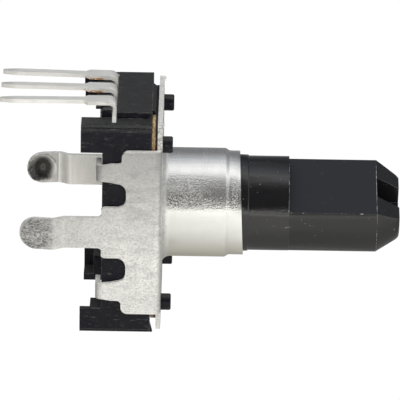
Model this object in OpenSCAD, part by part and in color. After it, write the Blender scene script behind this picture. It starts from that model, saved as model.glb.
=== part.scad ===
// Board-mount rotary encoder with an insulated D-cut shaft.
// Origin: on the shaft's axis, at the front face of the cover's front plate.
// +X runs along the shaft to its tip, +Z points to the side that the terminals leave from.

/* [Sheet metal cover] */
// Thickness of the cover's sheet
sheet_t = 0.30; // [0.25:0.01:0.35]
// Width over the cover's side walls
cover_w = 12.0; // [11.8:0.1:12.4]
// Height of the cover's side walls
wall_h = 10.76; // [10.4:0.02:11.0]
// Height of the cover's front plate
plate_h = 13.54; // [13.2:0.02:13.8]
// Width of the front plate's top and bottom edges
plate_edge_w = 9.8; // [9.0:0.1:10.4]
// Outside radius of the cover's bends
bend_r = 0.45; // [0.40:0.01:0.55]

/* [Sleeve] */
// Outside radius of the sleeve
sleeve_r = 3.46; // [3.42:0.01:3.60]
// Outside radius of the sleeve's nose
sleeve_nose_r = 3.30; // [3.26:0.01:3.30]
// Radius of the sleeve's bore
sleeve_bore_r = 3.15; // [3.12:0.01:3.17]
// Length of the sleeve in front of the plate
sleeve_len = 5.0; // [4.8:0.1:7.0]
// Length of the sleeve's full-size part
sleeve_body_len = 3.92; // [3.5:0.01:4.2]

/* [Shaft] */
// Radius of the shaft outside the sleeve
shaft_r = 3.0; // [2.9:0.05:3.0]
// Radius of the journal that turns in the sleeve
journal_r = 3.08; // [3.07:0.01:3.10]
// Distance from the front plate to the shaft's tip
shaft_len = 15.0; // [14:0.5:25]
// Length of the D-cut
flat_len = 7.0; // [5:0.5:10]
// Distance from the shaft's axis to the flat
flat_d = 1.5; // [1.4:0.1:1.8]
// Turn of the flat away from +Z, towards -Y
flat_turn = 22; // [0:1:45]
// Length of the bevelled tip
tip_len = 1.45; // [1.0:0.05:2.0]
// Radius of the shaft's end face
tip_r = 2.12; // [1.9:0.01:2.3]

/* [Case] */
// Width of the case
case_w = 11.3; // [11.0:0.1:11.3]
// Height of the case
case_h = 13.74; // [13.4:0.02:14.0]
// Distance from the front plate's face to the case's rear face
case_depth = 3.72; // [3.6:0.02:4.0]
// Distance from the front plate's face to the rear of the corner feet
foot_depth = 5.07; // [4.8:0.01:5.4]
// Height of each corner foot
foot_h = 1.71; // [1.5:0.01:2.0]
// Radius of the locating posts
post_r = 0.525; // [0.45:0.005:0.60]
// How far the posts stand in front of the plate
post_out = 0.64; // [0.4:0.02:0.8]

/* [Terminals] */
// Distance between neighbouring terminals
pitch = 2.5; // [2.5:0.1:2.6]
// Thickness of a terminal
terminal_t = 0.25; // [0.20:0.01:0.25]
// Width of a terminal's shoulder
shoulder_w = 1.25; // [1.1:0.05:1.4]
// Width of a terminal's pin
pin_w = 0.65; // [0.5:0.05:0.8]
// Distance from the front plate's face to the pins' tips
pin_reach = 10.23; // [9.5:0.01:11.0]
// Height of the terminals' top face above the shaft's axis
terminal_z = 7.67; // [7.5:0.01:7.8]

/* [Detent] */
// Number of clicks in one turn
clicks = 24; // [12:1:36]

/* [Hidden] */
$fn = 96;

eps = 0.01;
overlap = 0.10;
play = 0.02;
steel = [0.80, 0.81, 0.79];
tin = [0.84, 0.84, 0.80];
bronze = [0.72, 0.53, 0.33];
brass = [0.80, 0.66, 0.32];
black = [0.10, 0.10, 0.11];
slate = [0.17, 0.17, 0.19];
brown = [0.33, 0.20, 0.10];
natural = [0.85, 0.83, 0.78];

// Cover
wall_z = wall_h / 2;
plate_z = plate_h / 2;
wall_y = cover_w / 2;
wall_end = 2.50;
wall_corner_r = 0.42;
tab_outer_z = 4.51;
tab_inner_z = 3.25;
tab_end_outer_z = 4.42;
tab_end_inner_z = 3.38;
tab_straight = 3.15;
fold_start = 3.65;
tongue_y = 3.95;
notch_depth = 2.22;
notch_r = 0.57;
shoulder_z = 1.67;
shoulder_end = 3.50;
leg_start = 4.00;
leg_z = 1.01;
leg_reach = 8.83;
leg_kink_start = 5.97;
leg_kink_end = 6.80;
leg_kink = 0.40;
leg_tip_out = 0.12;
dish_r = 1.90;
dish_depth = 0.20;
dome_r = 2.90;
dome_height = 0.12;
sleeve_foot_r = 0.50;
sleeve_step = 0.36;
sleeve_end_lean = 2.5;
trim_stock = 0.30;
mouth_w = 0.45;
mouth_depth = 0.15;
burr_r = 0.11;
burr_len = 0.35;
tab_r = 0.25;
tab_flare = 0.08;
leg_root = leg_start + 0.5;
leg_fillet_r = 0.30;

// Sheets behind the front plate
sheet_back = sheet_t + 0.15;
spring_t = 0.20;
spring_back = sheet_back + spring_t;
wafer_y = 5.2;
wafer_z = 6.70;
wafer_side_z = 5.65;
wafer_top_y = 3.20;
wafer_bore_r = 3.30;
sheet_bore_r = 3.70;

// Case
case_front = 0.68;
case_y = case_w / 2;
case_z = case_h / 2;
corner_y = 5.20;
corner_z = 6.59;
edge_bevel = 0.06;
edge_step = 0.12;
edge_rise = 0.04;
cavity_r = 5.05;
cavity_back = 2.37;
wiper_room = 0.18;
post_y = 4.09;
post_z = 5.24;
post_bevel = 0.07;
block_y = 4.0;
block_z = 7.28;
block_rear = 2.88;
block_root = 0.50;
foot_inner_y = 3.80;
foot_wall = 0.37;
foot_floor = 0.45;
foot_step = 4.44;
groove_w = 0.10;
groove_y = 5.05;
groove_depth = 0.09;
rib_front = 0.46;
rib_y = 2.60;
rib_low_z = 6.10;
rib_rise = 0.18;
rib_play = 0.04;
lip_front = 0.50;
lip_y = 4.90;
lip_z = 6.20;
rear_gap_y = 3.75;
rear_gap_z = 4.90;

// Base
base_fit = 0.03;
base_top = 7.35;
base_rear = 3.85;
shelf_rear = 4.20;
shelf_y = 3.15;
shelf_t = 0.16;
nose_r = 0.25;
support_front = 3.16;

// Terminals
web_front = 2.90;
web_back = web_front + terminal_t;
web_spread = 4.75;
web_foot_z = 5.70;
web_low_z = 3.90;
terminal_bend_r = 0.50;
bend_relief = 0.13;
shoulder_reach = 4.95;
shoulder_slope = 0.25;
pin_taper = 0.90;
pin_end = 0.12;
pin_end_w = 0.34;
pin_tip_w = 0.16;
stud_r = 0.28;
stud_z = 4.40;

// Rotor
pivot_r = 0.80;
pivot_bore_r = 0.85;
pivot_reach = 3.20;
collar_r = 3.06;
collar_start = sleeve_len - 0.20;
collar_end = sleeve_len + 0.40;
collar_step = 0.06;
d_part_r = shaft_r - 0.02;
hub_r = 1.90;
hub_flat = 1.50;
flange_r = 3.60;
flange_front = 0.72;
flange_back = 1.10;
wheel_front = 1.15;
wheel_back = 1.75;
wheel_r = 4.75;
ridge_in = 3.85;
ridge_r = 0.20;
disc_t = 0.15;
disc_back = wheel_back + disc_t;
disc_r = 4.60;
window_in = 3.25;
window_out = 4.40;
key_play = 0.02;
ring_t = 0.18;
ring_out_r = 2.20;
ring_gap = 0.70;
ring_back = disc_back + ring_t;
hub_end = ring_back + 0.06;
washer_t = 0.20;
washer_r = 1.60;
washer_bore_r = 0.90;
washer_front = hub_end + 0.02;
window_w = 0.48;
bump_z = 4.28;
arm_w = 0.90;
wiper_t = 0.10;
wiper_w = 0.55;
wiper_foot = 0.80;
wiper_knee = 0.40;
wiper_tip = 0.32;
touch_gap = 0.02;

// A 2D outline drawn as [Y, Z], made solid between two depths behind the front plate's face
module slab_x(front, back) {
    translate([-back, 0, 0]) rotate([90, 0, 90]) linear_extrude(back - front) children();
}

// A 2D outline drawn as [X, Z], made solid across Y from low to high
module slab_y(low, high) {
    translate([0, high, 0]) rotate([90, 0, 0]) linear_extrude(high - low) children();
}

// A 2D outline drawn as [radius, X], turned about the shaft's axis
module turned() {
    rotate([0, 90, 0]) rotate_extrude() children();
}

// A round bar or hole on an axis parallel to the shaft
module round_x(r, low_x, high_x, y = 0, z = 0) {
    translate([low_x, y, z]) rotate([0, 90, 0]) cylinder(r = r, h = high_x - low_x);
}

// A box between two corners
module block(low, high) {
    translate(low) cube(high - low);
}

module both_sides() {
    children();
    mirror([0, 1, 0]) children();
}

module four_corners() {
    for (sy = [0, 1], sz = [0, 1]) mirror([0, sy, 0]) mirror([0, 0, sz]) children();
}

function arc(cx, cy, r, from, to, steps = 10) =
    [for (i = [0:steps]) let (a = from + (to - from) * i / steps) [cx + r * cos(a), cy + r * sin(a)]];

// A smooth rise or fall from one value to another as share goes from 0 to 1
function ease(from, to, share) = from + (to - from) * (1 - cos(180 * share)) / 2;

// Upper half of a side wall's outline, from the front plate to the root of its leg
function wall_upper() = concat(
    [[0, wall_z]],
    arc(-wall_end + wall_corner_r, wall_z - wall_corner_r, wall_corner_r, 90, 180),
    arc(-wall_end - tab_r, tab_outer_z + tab_r, tab_r, 0, -90),
    [[-tab_straight, tab_outer_z], [-fold_start, tab_end_outer_z]],
    [[-fold_start, tab_end_inner_z], [-tab_straight, tab_inner_z + tab_flare]],
    arc(-notch_depth - notch_r, tab_inner_z - notch_r, notch_r, 90, 0),
    arc(-notch_depth - notch_r, shoulder_z + notch_r, notch_r, 0, -90),
    arc(-shoulder_end, shoulder_z - leg_fillet_r, leg_fillet_r, 90, 150),
    arc(-leg_start, leg_z + leg_fillet_r, leg_fillet_r, 330, 270),
    [[-leg_root, leg_z]]);

module wall_outline() {
    upper = wall_upper();
    last = len(upper) - 1;
    polygon(concat(upper, [for (i = [last:-1:0]) [upper[i][0], -upper[i][1]]]));
}

module plate_outline() {
    side = wall_y - bend_r;
    top = plate_edge_w / 2;
    polygon([[-side, -wall_z], [-top, -plate_z], [top, -plate_z], [side, -wall_z],
             [side, wall_z], [top, plate_z], [-top, plate_z], [-side, wall_z]]);
}

// Cross-section of the folded sheet, drawn as [X, Y]: front plate with a wall on each side
module channel_section() {
    inner_r = bend_r - sheet_t;
    difference() {
        union() {
            translate([-leg_root, -wall_y]) square([leg_root - bend_r, cover_w]);
            translate([-bend_r - eps, -wall_y + bend_r]) square([bend_r + eps, cover_w - 2 * bend_r]);
            for (s = [-1, 1]) translate([-bend_r, s * (wall_y - bend_r)]) circle(bend_r);
        }
        translate([-leg_start - 1, sheet_t - wall_y])
            square([leg_start + 1 - bend_r, cover_w - 2 * sheet_t]);
        translate([-bend_r - eps, bend_r - wall_y])
            square([bend_r - sheet_t + eps, cover_w - 2 * bend_r]);
        for (s = [-1, 1]) translate([-bend_r, s * (wall_y - bend_r)]) circle(inner_r);
    }
}

// A crimp tongue, folded over the rear of the case
module tongue() {
    fold_back = fold_start + bend_r;
    straight_y = wall_y - bend_r;
    end_r = (tab_end_outer_z - tab_end_inner_z) / 2;
    mid_z = (tab_end_outer_z + tab_end_inner_z) / 2;
    intersection() {
        translate([0, 0, tab_end_inner_z]) linear_extrude(2 * end_r) union() {
            difference() {
                translate([-fold_start, straight_y]) circle(bend_r);
                translate([-fold_start, straight_y]) circle(bend_r - sheet_t);
                translate([-fold_start, straight_y - 1]) square([1, 2]);
                translate([-fold_back, straight_y - 1]) square([1, 1]);
            }
            translate([-fold_back, tongue_y]) square([sheet_t, straight_y - tongue_y]);
        }
        union() {
            block([-fold_back - 1, tongue_y + end_r, mid_z - end_r], [0, wall_y + 1, mid_z + end_r]);
            round_x(end_r, -fold_back - 1, 0, tongue_y + end_r, mid_z);
        }
    }
}

// A snap-in leg: kinked outwards, with a rounded, dished tip
module leg() {
    outer = wall_y;
    inner = wall_y - sheet_t;
    dish_x = -leg_reach + leg_z;
    dish_y = leg_tip_out + (leg_kink - leg_tip_out) * leg_z / (leg_reach - leg_kink_end);
    steps = 8;
    kink = [for (i = [0:steps]) let (share = i / steps)
        [-leg_kink_start - (leg_kink_end - leg_kink_start) * share, ease(0, leg_kink, share)]];
    line = concat([[-leg_start, 0]], kink, [[-leg_reach, leg_tip_out]]);
    last = len(line) - 1;
    difference() {
        union() {
            intersection() {
                translate([0, 0, -leg_z]) linear_extrude(2 * leg_z) polygon(concat(
                    [for (q = line) [q[0], q[1] + outer]],
                    [for (i = [last:-1:0]) [line[i][0], line[i][1] + inner]]));
                slab_y(inner - 1, outer + 1) union() {
                    translate([dish_x, 0]) circle(leg_z);
                    translate([dish_x, -leg_z]) square([leg_reach - leg_start, 2 * leg_z]);
                }
            }
            // The tip is pressed outwards into a shallow dome
            intersection() {
                translate([dish_x, outer + dish_y + dome_height - dome_r, 0]) sphere(dome_r);
                slab_y(outer - sheet_t / 2, outer + 1) translate([dish_x, 0]) circle(leg_z - overlap);
            }
        }
        translate([dish_x, inner + dish_y + dish_depth - dish_r, 0]) sphere(dish_r);
    }
}

// Profile of the drawn sleeve, drawn as [radius, X]
module sleeve_profile() {
    foot = sleeve_foot_r;
    inner = sleeve_bore_r - overlap / 2;
    end = sleeve_len + trim_stock;
    steps = 6;
    step = [for (i = [0:steps]) let (share = i / steps)
        [ease(sleeve_r, sleeve_nose_r, share), sleeve_body_len + sleeve_step * share]];
    polygon(concat(
        [[inner, -sheet_t], [sleeve_r + foot, -sheet_t], [sleeve_r + foot, 0]],
        arc(sleeve_r + foot, foot, foot, 270, 180), step,
        [[sleeve_nose_r, end], [inner, end]]));
}

module cover_bracket() color(steel) {
    difference() {
        union() {
            intersection() {
                slab_y(-wall_y, wall_y) wall_outline();
                translate([0, 0, -wall_z]) linear_extrude(wall_h) channel_section();
            }
            slab_x(0, sheet_t) plate_outline();
            turned() sleeve_profile();
            both_sides() leg();
            four_corners() tongue();
            // A small burr at each end of the plate's top edge
            both_sides() translate([0, plate_edge_w / 2 - burr_len - overlap, plate_z - burr_r])
                rotate([-90, 0, 0]) cylinder(r = burr_r, h = burr_len);
        }
        round_x(sleeve_bore_r, -1, sleeve_len + 1);
        // The sleeve's end is trimmed slightly out of square, longest at the bottom
        translate([sleeve_len + play, 0, 0]) rotate([0, -sleeve_end_lean, 0])
            block([0, -sleeve_r, -sleeve_r - 1], [1, sleeve_r, sleeve_r + 1]);
        // The bore widens towards the rear
        turned() polygon([[0, -1], [sleeve_bore_r + mouth_w, -1], [sleeve_bore_r + mouth_w, -sheet_t],
                          [sleeve_bore_r, mouth_depth], [0, mouth_depth]]);
        four_corners() round_x(post_r + base_fit, -1, 1, post_y, post_z);
    }
}

// Outline shared by the two sheets behind the front plate
module wafer_outline() {
    top = wafer_top_y;
    side = wafer_side_z;
    polygon([[-wafer_y, -side], [-top, -wafer_z], [top, -wafer_z], [wafer_y, -side],
             [wafer_y, side], [top, wafer_z], [-top, wafer_z], [-wafer_y, side]]);
}

module insulating_sheet() color(brown)
    difference() {
        slab_x(sheet_t, sheet_back) wafer_outline();
        round_x(sheet_bore_r, -1, 0);
        four_corners() round_x(post_r + base_fit, -1, 0, post_y, post_z);
    }

// Slots that free one sprung arm: a curved strip that carries the click bump at its middle
module arm_slots() {
    inner_r = bump_z - arm_w / 2;
    outer_r = bump_z + arm_w / 2;
    slot = 0.18;
    half = 38;
    far = 8;
    for (r = [inner_r - slot, outer_r])
        intersection() {
            difference() {
                circle(r + slot);
                circle(r);
            }
            polygon([[0, 0], [-far * sin(half), far * cos(half)], [far * sin(half), far * cos(half)]]);
        }
}

module detent_spring() color(bronze) {
    bump_r = 0.55;
    reach = wheel_front - ridge_r - touch_gap;
    difference() {
        slab_x(sheet_back, spring_back) difference() {
            wafer_outline();
            translate([-rib_y - rib_play, rib_low_z - rib_play]) square([2 * (rib_y + rib_play), wafer_z]);
            circle(wafer_bore_r);
            arm_slots();
            mirror([0, 1]) arm_slots();
        }
        four_corners() round_x(post_r + base_fit, -1, 0, post_y, post_z);
    }
    // The click bumps are radial half-rounds pressed out of the arms. The arms are drawn lifted, with each
    // bump just in front of the ridges' tops, so the wheel passes them at every angle
    for (s = [-1, 1])
        intersection() {
            translate([bump_r - reach, 0, s * bump_z - arm_w / 3]) cylinder(r = bump_r, h = arm_w / 1.5);
            block([-reach - eps, -1, -6], [-spring_back + overlap, 1, 6]);
        }
}

// Outline of the case, drawn as [Y, Z], with its stepped long edges
module case_outline() {
    step_y = (corner_y + case_y) / 2;
    step_z = (corner_z + case_z) / 2 + edge_rise;
    quarter = [[case_y, 0], [case_y, corner_z - edge_bevel], [case_y - edge_bevel, corner_z],
               [step_y, step_z - edge_step], [step_y, step_z], [corner_y, case_z]];
    for (sy = [-1, 1], sz = [-1, 1])
        polygon(concat([[0, 0]], [for (p = quarter) [sy * p[0], sz * p[1]]], [[0, sz * case_z]]));
}

// A corner foot that stands on the board: an L-shaped wall with a filled step at its root
module foot() {
    low = case_z - foot_h;
    difference() {
        slab_x(case_depth - 2 * overlap, foot_depth) intersection() {
            case_outline();
            translate([foot_inner_y, low]) square([case_y, foot_h]);
        }
        block([-foot_depth - 1, foot_inner_y - 1, low - 1],
              [-foot_step, case_y - foot_wall, case_z - foot_floor]);
    }
}

module case() color(black) {
    difference() {
        union() {
            slab_x(case_front, case_depth) case_outline();
            block([-block_rear, -block_y, case_z - block_root], [-case_front, block_y, block_z]);
            four_corners() foot();
            // Rib behind the insulating sheet, leaning back to the block, and a lip at each lower corner
            slab_y(-rib_y, rib_y) polygon([
                [-case_front - overlap, rib_low_z], [-rib_front, rib_low_z], [-rib_front, case_z],
                [-case_front, case_z + rib_rise], [-case_front - overlap, case_z + rib_rise]]);
            both_sides() slab_y(lip_y, corner_y)
                polygon([[-case_front - overlap, -lip_z], [-case_front, -lip_z],
                         [-lip_front, -case_z], [-case_front - overlap, -case_z]]);
        }
        // Room for the turning wheel
        round_x(cavity_r, -cavity_back, 0);
        // Opening for the base, open at the top where the terminals rise
        block([-case_depth - 1, -rear_gap_y, -rear_gap_z],
              [-cavity_back + wiper_room, rear_gap_y, rear_gap_z]);
        block([-case_depth - 1, -rear_gap_y, 0], [-block_rear, rear_gap_y, block_z + 1]);
        // Slot for the spread feet of the outer terminals
        block([-web_back - play, -web_spread - play, web_foot_z - play],
              [-block_rear + eps, web_spread + play, block_z + 1]);
        // Groove along each upper edge
        both_sides() block([-foot_depth - 1, groove_y, case_z - groove_depth],
                           [0, groove_y + groove_w, case_z + 1]);
    }
    four_corners() round_x(post_r, -case_front - overlap, post_out - post_bevel, post_y, post_z);
    four_corners() translate([post_out - post_bevel, post_y, post_z]) rotate([0, 90, 0])
        cylinder(r1 = post_r, r2 = post_r - post_bevel, h = post_bevel);
}

// The base fills the case's rear opening and rises as a rounded support under the terminals
module terminal_base() color(black) {
    half = rear_gap_y - base_fit;
    low = rear_gap_z - base_fit;
    difference() {
        union() {
            block([-case_depth + play, -half, -low], [-cavity_back, half, low]);
            block([-case_depth + play, -half, 0], [-support_front, half, base_top]);
            block([-base_rear, -half, case_z - block_root], [-support_front, half, base_top - nose_r]);
            translate([-base_rear + nose_r, half, base_top - nose_r]) rotate([90, 0, 0])
                cylinder(r = nose_r, h = 2 * half);
            block([-shelf_rear, -shelf_y, base_top - shelf_t], [-support_front, shelf_y, base_top]);
        }
        // Bearing for the rotor's pivot
        round_x(pivot_bore_r, -pivot_reach - overlap, 0);
        // Pockets for the terminals and for their weld studs
        for (k = [-1:1]) {
            block([-web_back - eps, k * pitch - shoulder_w / 2 - play, web_low_z - play],
                  [-web_front + eps, k * pitch + shoulder_w / 2 + play, base_top + 1]);
            round_x(stud_r + play, -web_front - overlap, 0, k * pitch, stud_z);
            // Relief for the inside of the terminal's bend
            block([-web_front - terminal_bend_r, k * pitch - shoulder_w / 2 - play, base_top - bend_relief],
                  [-web_front, k * pitch + shoulder_w / 2 + play, base_top + 1]);
        }
    }
}

// Side view of a terminal's bend, drawn as [X, Z]
module terminal_bend() {
    cx = -web_front - terminal_bend_r;
    cz = terminal_z - terminal_bend_r;
    intersection() {
        difference() {
            translate([cx, cz]) circle(terminal_bend_r);
            translate([cx, cz]) circle(terminal_bend_r - terminal_t);
        }
        translate([cx, cz]) square([1, 1]);
    }
    translate([-web_back, cz - eps]) square([terminal_t, eps]);
}

// One terminal; spread is how far its web reaches sideways at the case's top, 0 for none,
// and lean is how many degrees its pin rises towards the tip, because hand-bent pins are never quite alike
module terminal(k, spread, lean) {
    y = k * pitch;
    bend_x = web_front + terminal_bend_r;
    bend_z = terminal_z - terminal_bend_r;
    half = shoulder_w / 2;
    // Half of the flat part's outline, from the bend to the coined tip
    edge = [[-bend_x + eps, half], [-shoulder_reach + shoulder_slope, half], [-shoulder_reach, pin_w / 2],
            [-pin_reach + pin_taper, pin_w / 2], [-pin_reach + pin_end, pin_end_w / 2],
            [-pin_reach, pin_tip_w / 2]];
    last = len(edge) - 1;
    translate([0, y, 0]) {
        slab_x(web_front, web_back)
            translate([-half, web_low_z]) square([shoulder_w, bend_z - web_low_z]);
        slab_y(-half, half) terminal_bend();
        translate([-bend_x, 0, terminal_z - terminal_t]) rotate([0, lean, 0])
            translate([bend_x, 0, 0]) linear_extrude(terminal_t)
                polygon(concat(edge, [for (i = [last:-1:0]) [edge[i][0], -edge[i][1]]]));
        round_x(stud_r, -web_front, -cavity_back, 0, stud_z);
    }
    if (spread != 0)
        slab_x(web_front, web_back)
            polygon([[y, web_foot_z], [spread, web_foot_z], [spread, case_z],
                     [y + sign(k) * half, bend_z], [y, bend_z]]);
}

module terminal_a() color(tin) terminal(-1, -web_spread, -0.3);
module terminal_c() color(tin) terminal(0, 0, 0.7);
module terminal_b() color(tin) terminal(1, web_spread, 1.2);

// A wiper: a foot on the base in front of its terminal's stud, and a finger that rises to the disc
module wiper(foot_y, tip_y, tip_z) {
    back = cavity_back - eps;
    front = disc_back + touch_gap;
    half = wiper_w / 2;
    foot_low = stud_z - wiper_foot / 2;
    run = [tip_y - foot_y, tip_z - foot_low];
    length = norm(run);
    lean = atan2(run[0], -run[1]);
    translate([0, foot_y, foot_low]) {
        block([-back, -half, -overlap], [-back + wiper_t, half, wiper_foot]);
        rotate([lean, 0, 0]) slab_y(-half, half) polygon([
            [-back, 0], [-back, -wiper_knee], [-front - 2 * wiper_t, -length + wiper_tip],
            [-front - wiper_t, -length], [-front, -length + overlap / 2], [-front, -length + wiper_tip],
            [-back + wiper_t, -wiper_knee], [-back + wiper_t, 0]]);
    }
}

module wiper_a() color(bronze) wiper(-pitch, -3.30, 1.98);
module wiper_c() color(bronze) wiper(0, 0, 2.60);
module wiper_b() color(bronze) wiper(pitch, 3.30, 1.98);

// Region on the flat's side of a plane parallel to the flat, in the shaft's turned frame
module beyond_flat(distance, low_x, high_x) {
    block([low_x, -shaft_r - 1, distance], [high_x, shaft_r + 1, shaft_r + 1]);
}

module shaft() color(slate) {
    flat_x = shaft_len - flat_len;
    bevel_x = shaft_len - tip_len;
    facet_d = 0.60;
    notch_w = 1.80;
    notch_floor = -0.60;
    facet_lean = atan((flat_d - facet_d) / tip_len);
    pivot_bevel = 0.10;
    // Rounding of the tip's rim: how far each point lies from the tip's radius and from its end
    rim = [[0.08, 0.20], [-0.03, 0.08], [-0.15, 0]];
    rotate([flat_turn, 0, 0]) difference() {
        turned() polygon(concat(
            [[0, -pivot_reach], [pivot_r - pivot_bevel, -pivot_reach], [pivot_r, -pivot_reach + pivot_bevel],
             [pivot_r, -hub_end], [hub_r, -hub_end], [hub_r, -flange_back],
             [flange_r, -flange_back], [flange_r, -flange_front], [journal_r, -flange_front],
             [journal_r, collar_start], [collar_r, collar_end], [shaft_r, collar_end + collar_step],
             [shaft_r, flat_x], [d_part_r, flat_x], [d_part_r, bevel_x]],
            [for (q = rim) [tip_r + q[0], shaft_len - q[1]]],
            [[0, shaft_len]]));
        beyond_flat(flat_d, flat_x, shaft_len + 1);
        // Bevel on the flat's side of the tip
        translate([bevel_x, 0, flat_d]) rotate([0, facet_lean, 0])
            block([0, -shaft_r - 1, 0], [tip_len + 2, shaft_r + 1, shaft_r]);
        // Notch in the bevelled tip
        block([bevel_x, -notch_w / 2, notch_floor], [shaft_len + 1, notch_w / 2, shaft_r + 1]);
        // Two flats on the hub that drive the wheel
        for (s = [0, 180]) rotate([s, 0, 0])
            block([-ring_back - 1, -3, hub_flat], [-flange_back, 3, 3]);
    }
}

// Keyed hole that fits the shaft's hub
module key_outline() {
    intersection() {
        circle(hub_r + key_play);
        square([2 * hub_r + 1, 2 * (hub_flat + key_play)], center = true);
    }
}

module detent_wheel() color(natural)
    rotate([flat_turn, 0, 0]) {
        slab_x(wheel_front, wheel_back) difference() {
            circle(wheel_r);
            key_outline();
        }
        rotate([-flat_turn, 0, 0]) for (i = [0:clicks - 1])
            rotate([(i + 0.5) * 360 / clicks, 0, 0]) intersection() {
                translate([-wheel_front, 0, ridge_in]) cylinder(r = ridge_r, h = wheel_r - ridge_in);
                block([-wheel_front - overlap, -1, 0], [0, 1, wheel_r]);
            }
    }

module code_disc() color(brass)
    rotate([flat_turn, 0, 0]) slab_x(wheel_back, disc_back) difference() {
        circle(disc_r);
        key_outline();
        for (i = [0:clicks - 1]) rotate([0, 0, i * 360 / clicks])
            translate([window_in, -window_w / 2]) square([window_out - window_in, window_w]);
    }

// Sprung ring pressed on the end of the hub, open on one side
module retaining_ring() color(steel)
    rotate([flat_turn, 0, 0]) slab_x(disc_back, ring_back) difference() {
        circle(ring_out_r);
        key_outline();
        translate([0, -ring_gap / 2]) square([3, ring_gap]);
    }

module thrust_washer() color(natural)
    slab_x(washer_front, washer_front + washer_t) difference() {
        circle(washer_r);
        circle(washer_bore_r);
    }

cover_bracket();
insulating_sheet();
detent_spring();
case();
terminal_base();
terminal_a();
terminal_c();
terminal_b();
wiper_a();
wiper_c();
wiper_b();
shaft();
detent_wheel();
code_disc();
retaining_ring();
thrust_washer();
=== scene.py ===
import math
import random

import bmesh
import bpy
from mathutils import Matrix, Vector

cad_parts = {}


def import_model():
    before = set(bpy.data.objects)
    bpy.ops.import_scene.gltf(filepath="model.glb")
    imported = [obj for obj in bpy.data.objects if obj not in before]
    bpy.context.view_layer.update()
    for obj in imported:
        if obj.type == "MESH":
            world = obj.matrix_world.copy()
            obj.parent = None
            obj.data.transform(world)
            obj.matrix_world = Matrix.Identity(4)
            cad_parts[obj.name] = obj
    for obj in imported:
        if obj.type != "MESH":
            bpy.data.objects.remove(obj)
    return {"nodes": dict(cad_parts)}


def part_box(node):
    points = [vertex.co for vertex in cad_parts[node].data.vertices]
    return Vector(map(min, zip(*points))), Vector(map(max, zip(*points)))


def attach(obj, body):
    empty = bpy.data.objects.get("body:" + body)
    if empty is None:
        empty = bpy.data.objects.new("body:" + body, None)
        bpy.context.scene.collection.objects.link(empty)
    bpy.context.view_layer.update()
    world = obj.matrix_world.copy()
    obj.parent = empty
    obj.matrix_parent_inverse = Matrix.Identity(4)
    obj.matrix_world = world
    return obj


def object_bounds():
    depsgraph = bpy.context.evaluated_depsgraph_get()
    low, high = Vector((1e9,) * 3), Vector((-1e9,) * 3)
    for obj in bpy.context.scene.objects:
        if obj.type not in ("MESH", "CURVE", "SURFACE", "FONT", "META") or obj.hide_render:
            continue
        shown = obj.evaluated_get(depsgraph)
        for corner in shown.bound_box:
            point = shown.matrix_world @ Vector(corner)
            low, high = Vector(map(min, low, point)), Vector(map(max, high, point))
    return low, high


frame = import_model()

MM = 0.001
CAD_LOW, CAD_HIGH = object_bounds()
NODES = frame["nodes"]

# Where things are, in millimetres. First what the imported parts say:
SPRING_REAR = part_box("detent_spring")[0].x / MM
PIN_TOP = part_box("terminal_a")[1].z / MM
PIN_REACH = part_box("terminal_a")[0].x / MM
SHAFT_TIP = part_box("shaft")[1].x / MM
# The cover: the foot of its sleeve, the corners of its plate, and the tip of each leg
SLEEVE_FOOT_X = 0.05
SLEEVE_FOOT_RADIUS = 4.1
CORNER_Z = 5.25
CORNER_Y = 4.5
LEG_TIP_X = -7.82
LEG_MIDDLE_Y = 6.2
# The terminals: the wide root of each pin, whose sheared edge is bare on all but the nearest one; the
# nearest keeps the pale plated colour as painted light on its lit edge
PIN_ROOT_REAR = -5.1
PIN_ROOT_FRONT = -3.75
PAINTED_LIT_EDGE_Y = -2.9
# The shaft: its flat is turned from +Z towards -Y
SHAFT_RADIUS = 3.0
D_PART_RADIUS = 2.98
FLAT_TURN = math.radians(22)
FLAT_DEPTH = 1.5
FLAT_START = 8.0
BEVEL_LENGTH = 1.45
BEVEL_START = SHAFT_TIP - BEVEL_LENGTH


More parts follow.
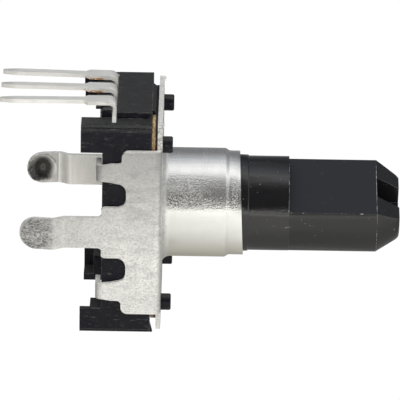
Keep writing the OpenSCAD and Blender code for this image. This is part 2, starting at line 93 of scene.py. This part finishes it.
# ---------------------------------------------------------------- node helpers
class Tree:
    """Short calls for building one node tree. Sockets are passed as values or as links."""

    def __init__(self, tree):
        self.tree = tree
        tree.nodes.clear()

    def add(self, kind, **settings):
        node = self.tree.nodes.new(kind)
        for name, value in settings.items():
            setattr(node, name, value)
        return node

    def put(self, socket, value):
        if isinstance(value, bpy.types.NodeSocket):
            self.tree.links.new(value, socket)
        elif isinstance(value, (tuple, list)) and len(value) == 3 and socket.type == "RGBA":
            socket.default_value = (*value, 1)
        else:
            socket.default_value = value

    def maths(self, operation, a, b=0.0):
        node = self.add("ShaderNodeMath", operation=operation)
        self.put(node.inputs[0], a)
        self.put(node.inputs[1], b)
        return node.outputs[0]

    def times(self, first, *others):
        for other in others:
            first = self.maths("MULTIPLY", first, other)
        return first

    def total(self, first, *others):
        for other in others:
            first = self.maths("ADD", first, other)
        return first

    def inverse(self, mask):
        return self.maths("SUBTRACT", 1.0, mask)

    def between(self, value, low, high, out_low=0.0, out_high=1.0):
        """Maps low..high to out_low..out_high with a smooth start and end, clamped outside."""
        node = self.add("ShaderNodeMapRange", interpolation_type="SMOOTHSTEP")
        for socket, v in zip(node.inputs, (value, low, high, out_low, out_high)):
            self.put(socket, v)
        return node.outputs[0]

    def mix(self, share, a, b):
        """Colour a where share is 0 and colour b where it is 1."""
        node = self.add("ShaderNodeMix", data_type="RGBA")
        self.put(node.inputs[0], share)
        self.put(node.inputs[6], a)
        self.put(node.inputs[7], b)
        return node.outputs[2]

    def blend(self, share, a, b):
        """Number a where share is 0 and number b where it is 1."""
        node = self.add("ShaderNodeMix", data_type="FLOAT")
        self.put(node.inputs[0], share)
        self.put(node.inputs[2], a)
        self.put(node.inputs[3], b)
        return node.outputs[0]

    def scaled(self, vector, scale):
        node = self.add("ShaderNodeVectorMath", operation="SCALE")
        self.put(node.inputs[0], vector)
        node.inputs["Scale"].default_value = scale
        return node.outputs[0]

    def place(self):
        """Position on the object in millimetres."""
        return self.scaled(self.add("ShaderNodeTexCoord").outputs["Object"], 1 / MM)

    def facing(self, kind="Normal"):
        """The three parts of the surface's normal."""
        return self.split(self.add("ShaderNodeNewGeometry").outputs[kind])

    def stretched(self, place, scale, turn=(0, 0, 0)):
        mapping = self.add("ShaderNodeMapping")
        self.put(mapping.inputs["Vector"], place)
        mapping.inputs["Scale"].default_value = scale
        mapping.inputs["Rotation"].default_value = turn
        return mapping.outputs[0]

    def noise(self, place, scale, detail, rough, distortion=0.0):
        node = self.add("ShaderNodeTexNoise")
        self.put(node.inputs["Vector"], place)
        node.inputs["Scale"].default_value = scale
        node.inputs["Detail"].default_value = detail
        node.inputs["Roughness"].default_value = rough
        node.inputs["Distortion"].default_value = distortion
        return node.outputs[0]

    def split(self, vector):
        node = self.add("ShaderNodeSeparateXYZ")
        self.put(node.inputs[0], vector)
        return node.outputs

    def bump(self, height, distance_mm=1.0):
        """A normal from a height; the height is in millimetres unless a distance is given."""
        node = self.add("ShaderNodeBump")
        self.put(node.inputs["Height"], height)
        node.inputs["Strength"].default_value = 1.0
        node.inputs["Distance"].default_value = distance_mm * MM
        return node.outputs[0]

    def sharp_edges(self, width_mm):
        """1 along sharp edges and 0 on open faces, from how far a rounded normal turns away."""
        rounded = self.add("ShaderNodeBevel", samples=6)
        rounded.inputs["Radius"].default_value = width_mm * MM
        product = self.add("ShaderNodeVectorMath", operation="DOT_PRODUCT")
        self.put(product.inputs[0], rounded.outputs[0])
        self.put(product.inputs[1], self.add("ShaderNodeNewGeometry").outputs["Normal"])
        return self.between(product.outputs["Value"], 0.995, 0.90)

    def level(self, noise):
        """Noise moved to lie about zero, so that a mask over it adds no slope of its own."""
        return self.maths("SUBTRACT", noise, 0.5)

    def surface(self, colour, metallic, roughness, normal, specular=0.5):
        shader = self.add("ShaderNodeBsdfPrincipled")
        self.put(shader.inputs["Base Color"], colour)
        self.put(shader.inputs["Metallic"], metallic)
        self.put(shader.inputs["Roughness"], roughness)
        self.put(shader.inputs["Specular IOR Level"], specular)
        self.put(shader.inputs["Normal"], normal)
        out = self.add("ShaderNodeOutputMaterial")
        self.tree.links.new(shader.outputs[0], out.inputs["Surface"])


def material(name):
    made = bpy.data.materials.new(name)
    made.use_nodes = True
    return made, Tree(made.node_tree)


def ramp(tree, value, stops):
    """A colour ramp from (position, grey) or (position, (r, g, b)) stops."""
    node = tree.add("ShaderNodeValToRGB")
    node.color_ramp.interpolation = "EASE"
    elements = node.color_ramp.elements
    while len(elements) > 1:
        elements.remove(elements[-1])
    for index, (position, colour) in enumerate(stops):
        element = elements[0] if index == 0 else elements.new(position)
        element.position = position
        rgb = colour if isinstance(colour, (tuple, list)) else (colour,) * 3
        element.color = (*rgb, 1)
    tree.put(node.inputs[0], value)
    return node.outputs["Color"]


# ---------------------------------------------------------------- the cover's steel
def leg_tip(t, x, y, z):
    """Masks for a leg's round tip: its scuffed outside, and inside it a dish painted dark as a reflection,
    with a small ring.
    """
    from_middle = t.maths("SQRT", t.total(t.maths("POWER", t.maths("SUBTRACT", x, LEG_TIP_X), 2.0),
                                          t.times(t.maths("POWER", z, 2.0), 0.62)))
    tip = t.between(from_middle, 1.45, 0.75)
    inside = t.between(t.maths("ABSOLUTE", y), LEG_MIDDLE_Y + 0.02, LEG_MIDDLE_Y - 0.02)
    scuffed = t.times(tip, t.inverse(inside))
    dish = t.times(t.between(from_middle, 0.92, 0.42), inside, tip)
    ring = t.times(t.between(from_middle, 0.20, 0.13), t.between(from_middle, 0.05, 0.12), inside)
    return scuffed, dish, ring


def die_wear(t, x, z):
    """The band of the sleeve that the die galled, and how hard it did so along the sleeve."""
    band = t.times(t.between(z, 0.55, 1.15), t.between(z, 2.7, 2.0))
    nose = t.times(t.between(x, 4.25, 4.40), t.between(x, 4.85, 4.70, 0, 0.8))
    strength = t.maths("MAXIMUM", nose, t.between(x, 3.6, 1.3, 0.38, 1.0))
    return band, strength


def sheet_colour(t, place, outer, flat, grain, scribble):
    """Rolled plate with soft smears and a fine grain; painted shade darkens its outer sides towards the
    top, and its legs' outer faces.
    """
    x, _, z = t.split(place)
    cloud = t.noise(place, 0.45, 3, 0.6)
    smears = t.noise(t.stretched(place, (0.55, 1.0, 1.9), (0.0, 0.9, 0.0)), 0.9, 4, 0.65)
    smeared = t.times(t.between(smears, 0.46, 0.66, 0.0, 0.28), flat)
    wall_shade = t.blend(t.times(outer, flat), 1.0, t.between(z, -3.0, 6.2, 1.0, 0.52))
    leg_shade = t.blend(outer, 1.0, t.between(x, -5.6, -4.2, 0.86, 1.0))
    dull = t.total(t.between(grain, 0.46, 0.62, 0.0, 0.26), t.between(scribble, 0.42, 0.62, 0.0, 0.36))
    colour = t.mix(t.between(cloud, 0.3, 0.7), (0.93, 0.93, 0.905), (1.0, 1.0, 0.97))
    colour = t.mix(smeared, colour, (0.36, 0.36, 0.36))
    # Painted shade: darker towards the top of the outer sides and on the legs' outer faces
    colour = t.mix(t.inverse(t.times(wall_shade, leg_shade)), colour, (0.0, 0.0, 0.004))
    return t.mix(t.times(dull, flat), colour, (0.34, 0.34, 0.345))


def sleeve_colour(t, place, z, colour, sleeve, galled):
    """A little greyer than the plate and painted yellower underneath as a reflection of the warm floor;
    dark pits where the die galled it, partly painted as the mottled dark reflection along that band.
    """
    pits = t.noise(t.stretched(place, (0.75, 1.0, 1.25)), 12.0, 4, 0.75)
    # Dark pits along the galled band, partly painted as the mottled dark reflection there
    pits_and_painted_reflection = t.times(galled, sleeve, t.between(z, 2.1, 1.35, 0.35, 1.0),
                     t.between(pits, 0.46, 0.57, 0.05, 0.96))
    colour = t.mix(t.times(sleeve, 0.12), colour, (0.0, 0.0, 0.0))
    # Painted reflection: yellower towards the underside, as the warm floor reflected
    colour = t.mix(t.times(sleeve, t.between(z, -0.8, -3.0)), colour, (0.90, 0.88, 0.78))
    return t.mix(pits_and_painted_reflection, colour, (0.05, 0.05, 0.055))


def plated_steel():
    """Tin-plated sheet: rolled grain, handling scratches, a galled drawn sleeve and scuffed leg tips, with
    painted shade on its outer sides and legs and painted reflections in the leg tips' dishes and on the
    sleeve.
    """
    made, t = material("tin_plated_steel")
    place = t.place()
    x, y, z = t.split(place)
    facing = t.facing("True Normal")
    grain = t.noise(t.stretched(place, (4, 4, 7)), 1.5, 5, 0.75)
    speck = t.noise(place, 9.0, 3, 0.7)
    scribble = t.noise(t.stretched(place, (1.6, 1.6, 2.6), (0.0, 0.35, 0.0)), 3.0, 4, 0.70, 1.4)
    scratch = t.noise(t.stretched(place, (2.2, 5.0, 5.0), (0.0, 0.6, 0.0)), 1.3, 4, 0.72, 2.2)
    blotch = t.level(t.noise(t.stretched(place, (0.8, 1.0, 1.5)), 7.5, 3, 0.7))
    rings = t.noise(t.stretched(place, (3.2, 0.2, 0.2)), 1.0, 3, 0.6)
    lines = t.noise(t.stretched(place, (0.25, 5, 5)), 1.0, 4, 0.65)
    # Masks: the sleeve, faces that look outwards or inwards, cut edges, the plate's rubbed corners
    radius = t.maths("SQRT", t.total(t.times(y, y), t.times(z, z)))
    sleeve = t.times(t.between(x, SLEEVE_FOOT_X, SLEEVE_FOOT_X + 0.45),
                     t.between(radius, SLEEVE_FOOT_RADIUS, SLEEVE_FOOT_RADIUS - 0.3))
    flat = t.inverse(sleeve)
    outward = t.times(facing[1], y)
    outer = t.between(outward, 0.5, 3.0)
    toward_inside = t.times(t.between(outward, 0.0, -0.5), flat)
    cut = t.times(t.between(t.maths("ABSOLUTE", facing[2]), 0.7, 0.9), flat)
    corner = t.times(t.between(t.maths("ABSOLUTE", z), CORNER_Z, CORNER_Z + 0.2),
                     t.between(t.maths("ABSOLUTE", y), CORNER_Y, CORNER_Y + 0.4),
                     t.between(speck, 0.40, 0.60, 0.15, 0.75))
    scuffed, dish, ring = leg_tip(t, x, y, z)
    band, strength = die_wear(t, x, z)
    # Colour
    colour = sheet_colour(t, place, outer, flat, grain, scribble)
    colour = t.mix(t.times(scuffed, t.between(scratch, 0.47, 0.56, 0.0, 0.92)), colour, (0.17, 0.17, 0.175))
    colour = sleeve_colour(t, place, z, colour, sleeve, t.times(band, strength))
    colour = t.mix(t.maths("MAXIMUM", corner, toward_inside), colour, (0.97, 0.96, 0.92))
    # Painted reflection: the dish inside each leg tip is painted dark, mottled by the specks
    painted_dark_reflection = t.mix(t.between(speck, 0.4, 0.6), (0.028, 0.027, 0.025), (0.085, 0.083, 0.078))
    colour = t.mix(dish, colour, painted_dark_reflection)
    colour = t.mix(ring, colour, (0.13, 0.13, 0.125))
    # Gloss: the galled band is the shiniest
    drawn_rough = t.blend(t.between(z, 0.2, 0.9), 0.34, t.between(rings, 0.3, 0.7, 0.20, 0.28))
    rough = t.blend(t.between(scribble, 0.3, 0.7), 0.32, 0.52)
    rough = t.blend(sleeve, rough, t.blend(band, drawn_rough, 0.14))
    rough = t.blend(toward_inside, rough, 0.20)
    metallic = t.blend(t.maths("MAXIMUM", corner, cut), t.blend(sleeve, 0.75, 0.84), 0.12)
    metallic = t.blend(toward_inside, metallic, 0.95)
    # Height in millimetres
    gall = t.times(strength, t.blend(band, 0.10, 1.0))
    rolled = t.total(t.times(grain, 0.020), t.times(speck, 0.007), t.times(speck, scuffed, 0.04))
    drawn = t.total(t.times(blotch, gall, 0.065), t.times(rings, 0.010), t.times(lines, 0.008))
    t.surface(colour, metallic, rough, t.bump(t.blend(sleeve, rolled, drawn)))
    return made


# ---------------------------------------------------------------- the other materials
def tinned_pin():
    """Dull tin plate over copper alloy strip; the sheared edge shows the bare alloy below the plating."""
    made, t = material("tinned_terminal")
    place = t.place()
    x, y, z = t.split(place)
    fine = t.noise(place, 6.0, 4, 0.6)
    streak = t.noise(t.stretched(place, (0.6, 7, 7)), 1.0, 4, 0.6)
    cloud = t.noise(place, 1.2, 3, 0.6)
    side = t.between(t.times(t.facing()[1], -1.0), 0.6, 0.8)
    low = t.between(z, PIN_TOP - 0.10, PIN_TOP - 0.14)
    root = t.times(t.between(x, PIN_ROOT_REAR, PIN_ROOT_REAR + 0.15),
                   t.between(x, PIN_ROOT_FRONT, PIN_ROOT_FRONT - 0.2))
    # The nearest terminal's edge is left pale as painted light on its lit edge; the others show bare copper
    bare = t.times(side, low, root, t.between(y, PAINTED_LIT_EDGE_Y, PAINTED_LIT_EDGE_Y + 0.5))
    colour = t.mix(t.between(cloud, 0.3, 0.7), (0.86, 0.86, 0.83), (0.93, 0.93, 0.89))
    colour = t.mix(t.between(streak, 0.45, 0.7, 0, 0.35), colour, (0.55, 0.55, 0.53))
    colour = t.mix(t.between(x, PIN_REACH + 1.1, PIN_REACH + 0.4, 0, 0.45), colour, (0.50, 0.50, 0.48))
    colour = t.mix(t.times(bare, t.between(fine, 0.35, 0.5)), colour, (0.66, 0.36, 0.17))
    height = t.total(t.times(fine, 0.006), t.times(streak, 0.008))
    t.surface(colour, t.blend(bare, 0.35, 0.5), t.blend(fine, 0.34, 0.5), t.bump(height))
    return made


def case_plastic():
    """Black glass-filled moulding: matte on top, satin on its sides, with pale rub marks and scratches, and
    painted highlights along its sharp edges.
    """
    made, t = material("black_case_moulding")
    place = t.place()
    fine = t.noise(place, 7.0, 5, 0.7)
    cloud = t.noise(place, 1.1, 4, 0.6)
    rubs = t.noise(t.stretched(place, (0.7, 3.0, 3.0), (0.4, 0.2, 0.5)), 2.4, 5, 0.75)
    dots = t.noise(place, 5.5, 2, 0.5)
    top = t.between(t.facing()[2], 0.6, 0.9)
    marks = t.maths("MAXIMUM", t.between(rubs, 0.57, 0.69, 0, 0.6), t.between(dots, 0.68, 0.74, 0, 0.5))
    # Painted highlights along the sharp edges, broken up by noise
    painted_edge_highlight = t.times(t.sharp_edges(0.07), t.between(cloud, 0.38, 0.60, 0.15, 1.0),
                   t.between(fine, 0.44, 0.58, 0.25, 1.0))
    colour = t.mix(cloud, (0.0028, 0.0028, 0.0060), (0.0080, 0.0080, 0.0135))
    colour = t.mix(top, colour, t.mix(cloud, (0.014, 0.014, 0.0145), (0.034, 0.034, 0.033)))
    colour = t.mix(marks, colour, (0.11, 0.11, 0.11))
    colour = t.mix(painted_edge_highlight, colour, (0.22, 0.22, 0.225))
    rough = t.blend(top, t.between(cloud, 0.35, 0.65, 0.22, 0.60), 0.55)
    height = t.total(t.times(fine, 0.024), t.times(cloud, 0.11))
    t.surface(colour, 0.0, rough, t.bump(height), t.blend(top, 0.21, 0.5))
    return made


def shaft_plastic():
    """Black moulding: glossy round part, satin blue-black flat, fine dust, and painted highlights along its
    edges.
    """
    made, t = material("black_shaft_moulding")
    place = t.place()
    x, y, z = t.split(place)
    fine = t.noise(place, 12.0, 3, 0.6)
    cloud = t.noise(place, 1.3, 4, 0.6)
    lines = t.noise(t.stretched(place, (0.5, 5, 5)), 1.4, 4, 0.6)
    dust = t.noise(place, 4.6, 2, 0.5)
    from_axis = t.total(t.times(y, -math.sin(FLAT_TURN)), t.times(z, math.cos(FLAT_TURN)))
    front = t.between(x, FLAT_START - 0.02, FLAT_START + 0.02)
    flat = t.times(front, t.between(from_axis, FLAT_DEPTH - 0.03, FLAT_DEPTH - 0.015))
    dusty = t.times(t.between(dust, 0.70, 0.76, 0, 0.6), t.blend(flat, 1.0, 0.25))
    # Painted highlights along the sharp edges, broken up by noise
    painted_edge_highlight = t.times(t.sharp_edges(0.05), t.between(cloud, 0.40, 0.62, 0.1, 0.9))
    colour = t.mix(cloud, (0.0070, 0.0070, 0.0080), (0.0105, 0.0105, 0.0115))
    colour = t.mix(flat, colour, t.mix(cloud, (0.0060, 0.0068, 0.0105), (0.0105, 0.0115, 0.0155)))
    colour = t.mix(dusty, colour, (0.22, 0.22, 0.22))
    colour = t.mix(painted_edge_highlight, colour, (0.13, 0.13, 0.14))
    rough = t.blend(front, t.blend(lines, 0.10, 0.17), t.blend(cloud, 0.18, 0.30))
    rough = t.blend(flat, rough, t.blend(cloud, 0.38, 0.5))
    height = t.total(t.times(fine, 0.0035), t.times(cloud, 0.012), t.times(lines, 0.004))
    t.surface(colour, 0.0, rough, t.bump(height), t.blend(front, 0.64, t.blend(flat, 0.52, 0.40)))
    return made


def pale_flash():
    """Pale patches on the mould flash along the shaft's edges."""
    made, t = material("pale_mould_flash")
    patch = t.noise(t.place(), 3.5, 4, 0.7)
    colour = ramp(t, patch, [(0.0, 0.012), (0.42, 0.02), (0.52, 0.28), (0.66, 0.62)])
    t.surface(colour, 0.0, 0.45, t.bump(patch, 0.02))
    return made


def brown_sheet():
    """Laminated resin sheet; the faces that look up are painted darker as the shade in the gap above them.
    """
    made, t = material("brown_resin_sheet")
    fine = t.noise(t.stretched(t.place(), (8, 1, 1)), 3.0, 3, 0.6)
    colour = t.mix(fine, (0.030, 0.014, 0.006), (0.085, 0.042, 0.018))
    # Painted shade: faces that look up are darkened
    colour = t.mix(t.between(t.facing()[2], 0.75, 0.95), colour, (0.010, 0.0075, 0.005))
    t.surface(colour, 0.0, 0.5, t.bump(fine, 0.01))
    return made


def sprung_bronze():
    """Phosphor bronze whose sheared edge is bright, with painted shade along the spring's rear face, in the
    gap behind it.
    """
    made, t = material("phosphor_bronze")
    place = t.place()
    x = t.split(place)[0]
    grain = t.noise(t.stretched(place, (9, 1.2, 1.2)), 3.0, 4, 0.65)
    cloud = t.noise(place, 1.0, 3, 0.6)
    # Painted shade: the edge darkens towards the spring's rear face
    painted_gap_shade = t.between(x, SPRING_REAR + 0.06, SPRING_REAR + 0.12, 0.85, 0.0)
    colour = t.mix(cloud, (0.66, 0.44, 0.20), (0.86, 0.66, 0.38))
    colour = t.mix(t.between(grain, 0.46, 0.60, 0.0, 0.85), colour, (0.10, 0.045, 0.016))
    colour = t.mix(painted_gap_shade, colour, (0.06, 0.028, 0.012))
    t.surface(colour, 0.35, t.blend(grain, 0.35, 0.5), t.bump(grain, 0.008))
    return made


def bare_metal(name, low, high, rough_low, rough_high):
    made, t = material(name)
    place = t.place()
    grain = t.noise(t.stretched(place, (1, 6, 1)), 4.0, 4, 0.6)
    cloud = t.noise(place, 1.0, 3, 0.6)
    t.surface(t.mix(cloud, low, high), 1.0, t.blend(grain, rough_low, rough_high), t.bump(grain, 0.008))
    return made


def natural_plastic():
    made, t = material("natural_acetal")
    place = t.place()
    fine = t.noise(place, 8.0, 3, 0.6)
    cloud = t.noise(place, 0.9, 3, 0.6)
    colour = t.mix(cloud, (0.70, 0.67, 0.58), (0.80, 0.78, 0.70))
    t.surface(colour, 0.0, t.blend(fine, 0.35, 0.5), t.bump(fine, 0.01))
    return made


# ---------------------------------------------------------------- mould flash
def in_flat_frame(x, across, up):
    """A point in metres, given along the shaft, across the flat and away from the axis in millimetres."""
    c, s = math.cos(FLAT_TURN), math.sin(FLAT_TURN)
    return Vector((x, across * c - up * s, across * s + up * c)) * MM


def direction(across, up):
    return (in_flat_frame(0, across, up) / MM).normalized()


def ridge_rings(line, outward, width, low, high, rng):
    """Four corners of a ragged ridge at each point of a line; outward is the way it stands up there."""
    rings = []
    root = 0.02 * MM
    for index, (point, out) in enumerate(zip(line, outward)):
        ahead = line[min(index + 1, len(line) - 1)] - line[max(index - 1, 0)]
        side = ahead.cross(out).normalized()
        tall = rng.uniform(low, high) * (1.0 if rng.random() > 0.25 else 0.35)
        half = width * rng.uniform(0.6, 1.2) / 2
        rings.append([point + side * half * MM - out * root,
                      point + (out * tall + side * half * 0.4) * MM,
                      point + (out * tall * 0.9 - side * half * 0.4) * MM,
                      point - side * half * MM - out * root])
    return rings


def ridge(name, line, outward, width, low, high, seed, made):
    """A thin ragged ridge of flash on the rotor, closed at both ends."""
    mesh = bpy.data.meshes.new(name)
    bm = bmesh.new()
    rings = [[bm.verts.new(corner) for corner in ring]
             for ring in ridge_rings(line, outward, width, low, high, random.Random(seed))]
    for a, b in zip(rings, rings[1:]):
        for i in range(4):
            bm.faces.new((a[i], a[(i + 1) % 4], b[(i + 1) % 4], b[i]))
    bm.faces.new(rings[0][::-1])
    bm.faces.new(rings[-1])
    bmesh.ops.recalc_face_normals(bm, faces=bm.faces)
    bm.to_mesh(mesh)
    bm.free()
    piece = bpy.data.objects.new(name, mesh)
    bpy.context.scene.collection.objects.link(piece)
    mesh.materials.append(made)
    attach(piece, "rotor")


def spread(low, high, steps):
    return [low + (high - low) * i / steps for i in range(steps + 1)]


def straight_flash(half, made):
    """Flash across the flat's front end, and along its lower edge."""
    across = spread(-half, half, 46)
    ridge("flash_flat_end", [in_flat_frame(BEVEL_START - 0.01, a, FLAT_DEPTH) for a in across],
          [direction(0, 1)] * len(across), 0.05, 0.004, 0.05, 3, made)
    along = spread(FLAT_START + 0.05, BEVEL_START - 0.05, 70)
    ridge("flash_flat_edge", [in_flat_frame(x, -half + 0.01, FLAT_DEPTH - 0.01) for x in along],
          [direction(-1, 0.55)] * len(along), 0.035, 0.002, 0.018, 5, made)


def round_flash(name, x, radius, start, turn, tall, seed, made):
    """Flash round the shaft at x, through an angle turn from start."""
    angles = spread(start, start + turn, 60)
    ridge(name, [in_flat_frame(x, radius * math.cos(a), radius * math.sin(a)) for a in angles],
          [direction(math.cos(a), math.sin(a)) for a in angles], 0.03, 0.0, tall, seed, made)


def shaft_flash(made):
    """Flash left by the mould: round both ends of the D part, and on two edges of its flat."""
    half = math.sqrt(D_PART_RADIUS ** 2 - FLAT_DEPTH ** 2)
    lower_edge = math.atan2(FLAT_DEPTH, -half)
    straight_flash(half, made)
    round_flash("flash_bevel_edge", BEVEL_START, D_PART_RADIUS, lower_edge, 1.9, 0.02, 7, made)
    round_flash("flash_round_end", FLAT_START - 0.012, SHAFT_RADIUS, lower_edge, -1.15, 0.03, 9, made)


def paint(names, made):
    for name in names:
        slots = NODES[name].data.materials
        slots.clear()
        slots.append(made)


def soften(names, width_mm):
    """A small round on every sharp edge, as a real stamping or moulding has."""
    for name in names:
        node = NODES[name]
        weld = node.modifiers.new("weld", "WELD")
        weld.merge_threshold = 0.002 * MM
        bevel = node.modifiers.new("edge_round", "BEVEL")
        bevel.width = width_mm * MM
        bevel.segments = 2
        bevel.limit_method = "ANGLE"
        bevel.angle_limit = math.radians(30)
        bevel.harden_normals = True


# ---------------------------------------------------------------- studio
LOOK_DOWN = math.radians(19.95)
ROLL = math.radians(0.927)
DISTANCE = 295.6 * MM
TARGET_RIGHT = 2.383 * MM
TARGET_UP = 0.076 * MM
LENS = 419.07
FLOOR_DROP = 14 * MM
FLOOR_HALF_SIZE = 20.0
LAMP_RADIANCE = 2.8
LAMP_SIZE = 0.6
LAMP_DISTANCE = 0.60
LAMP_TILT = math.radians(50)
SKY_PEAK = 3.0
WHITE = (1, 1, 1)


def camera():
    data = bpy.data.cameras.new("camera")
    data.lens = LENS
    data.sensor_width = 36
    data.clip_start = 0.01
    data.clip_end = 100
    seen = bpy.data.objects.new("camera", data)
    bpy.context.scene.collection.objects.link(seen)
    right = Vector((1, 0, 0))
    up = Vector((0, math.sin(LOOK_DOWN), math.cos(LOOK_DOWN)))
    back = Vector((0, -math.cos(LOOK_DOWN), math.sin(LOOK_DOWN)))
    rolled_right = right * math.cos(ROLL) + up * math.sin(ROLL)
    rolled_up = up * math.cos(ROLL) - right * math.sin(ROLL)
    target = rolled_right * TARGET_RIGHT + rolled_up * TARGET_UP
    turn = Matrix((rolled_right, rolled_up, back)).transposed().to_4x4()
    seen.matrix_world = Matrix.Translation(target + back * DISTANCE) @ turn
    bpy.context.scene.camera = seen


def sky_colour(t, share):
    """The sky from the horizon behind the camera (0), over the top (0.5), to the far horizon (1)."""
    cool, plain, warm = (0.95, 1.0, 1.10), (0.99, 1.0, 1.02), (1.0, 0.99, 0.95)
    horizon = [(0.0, 1.5, warm), (0.018, 1.25, warm), (0.035, 0.40, warm)]
    dark = [(0.058, 0.04, cool), (0.28, 0.06, cool), (0.34, 0.13, plain)]
    overhead = [(0.40, 0.40, plain), (0.46, 0.98, plain), (0.52, 1.22, plain), (0.60, 0.86, plain)]
    beyond = [(0.65, 0.60, cool), (0.72, 0.32, cool), (0.83, 0.10, cool), (1.0, 0.16, cool)]
    stops = [(at, tuple(value * c / SKY_PEAK for c in tint))
             for at, value, tint in horizon + dark + overhead + beyond]
    return t.scaled(ramp(t, share, stops), SKY_PEAK)


def world():
    """Soft studio surroundings for reflections; the camera itself sees plain white."""
    scene = bpy.context.scene
    scene.world = bpy.data.worlds.new("studio")
    scene.world.use_nodes = True
    t = Tree(scene.world.node_tree)
    x, y, z = t.split(t.add("ShaderNodeTexCoord").outputs["Generated"])
    share = t.maths("DIVIDE", t.maths("ARCTAN2", z, t.times(y, -1.0)), math.pi)
    side = t.between(t.maths("ABSOLUTE", x), 0.75, 0.98)
    sky = t.mix(side, sky_colour(t, share), (0.5, 0.5, 0.5))
    seen = t.add("ShaderNodeLightPath").outputs["Is Camera Ray"]
    background = t.add("ShaderNodeBackground")
    t.put(background.inputs["Color"], t.mix(seen, sky, WHITE))
    out = t.add("ShaderNodeOutputWorld")
    t.tree.links.new(background.outputs[0], out.inputs["Surface"])


def floor_glow():
    """A glowing white floor; in reflections it is brighter far in front, darker beyond as a painted shadow
    of the object, and darker to the rear.
    """
    made, t = material("pale_floor")
    x, y, _ = t.split(t.place())
    in_front = t.between(y, -190, -110, 1.75, 1.0)
    # Painted shadow: the floor dims beyond and under the object in reflections
    beyond = t.between(y, -32, 14, 1.0, 0.30)
    along = t.between(x, -55, 35, 0.55, 1.12)
    seen = t.add("ShaderNodeLightPath").outputs["Is Camera Ray"]
    glow = t.add("ShaderNodeEmission")
    t.put(glow.inputs["Color"], t.mix(seen, (1.0, 0.985, 0.945), WHITE))
    t.put(glow.inputs["Strength"], t.blend(seen, t.times(in_front, beyond, along), 1.02))
    out = t.add("ShaderNodeOutputMaterial")
    t.tree.links.new(glow.outputs[0], out.inputs["Surface"])
    return made


def floor():
    s, height = FLOOR_HALF_SIZE, CAD_LOW.z - FLOOR_DROP
    mesh = bpy.data.meshes.new("floor")
    corners = [(-s, -s, height), (s, -s, height), (s, s, height), (-s, s, height)]
    mesh.from_pydata(corners, [], [(0, 1, 2, 3)])
    plane = bpy.data.objects.new("floor", mesh)
    bpy.context.scene.collection.objects.link(plane)
    mesh.materials.append(floor_glow())


def softbox():
    """A broad fill from above the camera, kept out of the reflections."""
    data = bpy.data.lights.new("softbox", "AREA")
    data.shape = "SQUARE"
    data.size = LAMP_SIZE
    data.energy = LAMP_RADIANCE * math.pi * LAMP_SIZE * LAMP_SIZE
    data.color = (1.0, 0.975, 0.93)
    lamp = bpy.data.objects.new("softbox", data)
    bpy.context.scene.collection.objects.link(lamp)
    lamp.matrix_world = Matrix.Rotation(LAMP_TILT, 4, "X") @ Matrix.Translation((0, 0, LAMP_DISTANCE))
    lamp.visible_glossy = False


def look():
    view = bpy.context.scene.view_settings
    view.view_transform = "Standard"
    view.look = "None"
    view.exposure = 0
    view.gamma = 1


# ---------------------------------------------------------------- build
TERMINALS = ["terminal_a", "terminal_c", "terminal_b"]
WIPERS = ["wiper_a", "wiper_c", "wiper_b"]
MOULDINGS = ["case", "terminal_base"]
WHEEL_AND_WASHER = ["detent_wheel", "thrust_washer"]

paint(["cover_bracket"], plated_steel())
paint(TERMINALS, tinned_pin())
paint(MOULDINGS, case_plastic())
paint(["shaft"], shaft_plastic())
paint(["insulating_sheet"], brown_sheet())
paint(["detent_spring"], sprung_bronze())
paint(WIPERS, bare_metal("wiper_bronze", (0.50, 0.33, 0.17), (0.66, 0.46, 0.27), 0.28, 0.45))
paint(["code_disc"], bare_metal("brass", (0.60, 0.46, 0.20), (0.74, 0.60, 0.30), 0.25, 0.4))
paint(["retaining_ring"], bare_metal("spring_steel", (0.36, 0.36, 0.36), (0.48, 0.48, 0.47), 0.25, 0.4))
paint(WHEEL_AND_WASHER, natural_plastic())

soften(["cover_bracket"] + TERMINALS + MOULDINGS, 0.03)
soften(["shaft"], 0.025)
soften(["detent_spring", "insulating_sheet", "code_disc", "retaining_ring"], 0.01)
soften(WIPERS + WHEEL_AND_WASHER, 0.01)

shaft_flash(pale_flash())

world()
floor()
softbox()
camera()
look()
